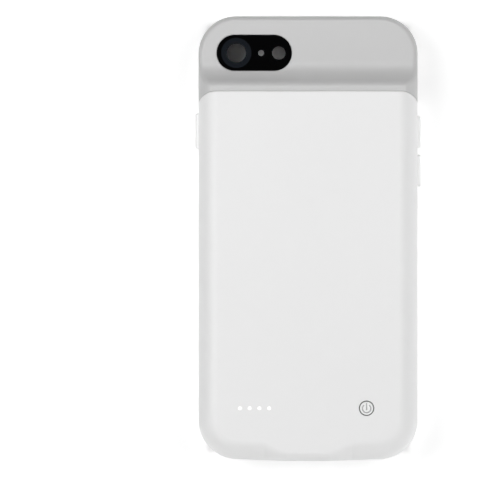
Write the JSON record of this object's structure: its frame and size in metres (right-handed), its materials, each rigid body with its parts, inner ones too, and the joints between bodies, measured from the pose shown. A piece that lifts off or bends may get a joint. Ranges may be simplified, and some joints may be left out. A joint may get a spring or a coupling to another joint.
{
  "type": "battery charging case",
  "caption": "Slim battery case that holds and charges a flat phone: white back cover over the cell, soft grey camera end, charge lights, power button and side keys.",
  "frame": {"origin": "under the middle of the case, on the surface that its front rim rests on", "axes": "+Z out of the back, +Y towards the camera end, +X towards the volume keys"},
  "size_m": [0.0732, 0.144, 0.0144],
  "materials": {
    "white_shell": "fine satin moulding",
    "grey_cap": "matt soft moulding",
    "black_surround": "deep black satin",
    "white_key": "fine satin moulding",
    "light_guide": "clear white",
    "cell_foil": "dull laminated foil",
    "tape": "double-sided foam tape",
    "circuit_board": "solder mask",
    "nickel": "thin strip",
    "red_insulation": "smooth",
    "black_insulation": "smooth",
    "black_component": "moulded",
    "ceramic_component": "fired ceramic",
    "steel": "stamped",
    "black_plastic": "moulded",
    "white_plastic": "moulded",
    "gold_contact": "plated",
    "flex_film": "polyimide film"
  },
  "bodies": {
    "case": {"phone_tub": "white_shell", "back_cover": "white_shell", "top_cap": "grey_cap", "camera_surround": "black_surround", "battery_cell": "cell_foil", "battery_tape": "tape", "cell_protection_board": "circuit_board", "cell_tabs": "nickel", "battery_lead_red": "red_insulation", "battery_lead_black": "black_insulation", "main_board": "circuit_board", "board_screws": "steel", "control_chip": "black_component", "boost_inductor": "black_component", "board_capacitors": "ceramic_component", "indicator_leds": "white_plastic", "light_guide": "light_guide", "tact_switch": "steel", "charging_port_shell": "steel", "charging_port_tongue": "black_plastic", "phone_plug_base": "white_plastic", "phone_plug_tongue": "steel", "phone_plug_contacts": "gold_contact", "plug_flex": "flex_film", "volume_button_strip": "black_plastic", "side_button_strip": "black_plastic"},
    "power_key": {"power_button": "white_key", "switch_plunger": "black_plastic"},
    "volume_up_key": {"volume_up_button": "white_key"},
    "volume_down_key": {"volume_down_button": "white_key"},
    "side_key": {"side_button": "white_key"}
  },
  "joints": [
    {"name": "power_button_press", "type": "slide", "parent": "case", "child": "power_key", "axis": [0, 0, -1], "range_m": [0, 0.0003], "stiffness_N_per_m": 2000},
    {"name": "volume_up_press", "type": "slide", "parent": "case", "child": "volume_up_key", "axis": [-1, 0, 0], "range_m": [0, 0.0003], "stiffness_N_per_m": 2000},
    {"name": "volume_down_press", "type": "slide", "parent": "case", "child": "volume_down_key", "axis": [-1, 0, 0], "range_m": [0, 0.0003], "stiffness_N_per_m": 2000},
    {"name": "side_button_press", "type": "slide", "parent": "case", "child": "side_key", "axis": [1, 0, 0], "range_m": [0, 0.0003], "stiffness_N_per_m": 2000}
  ]
}
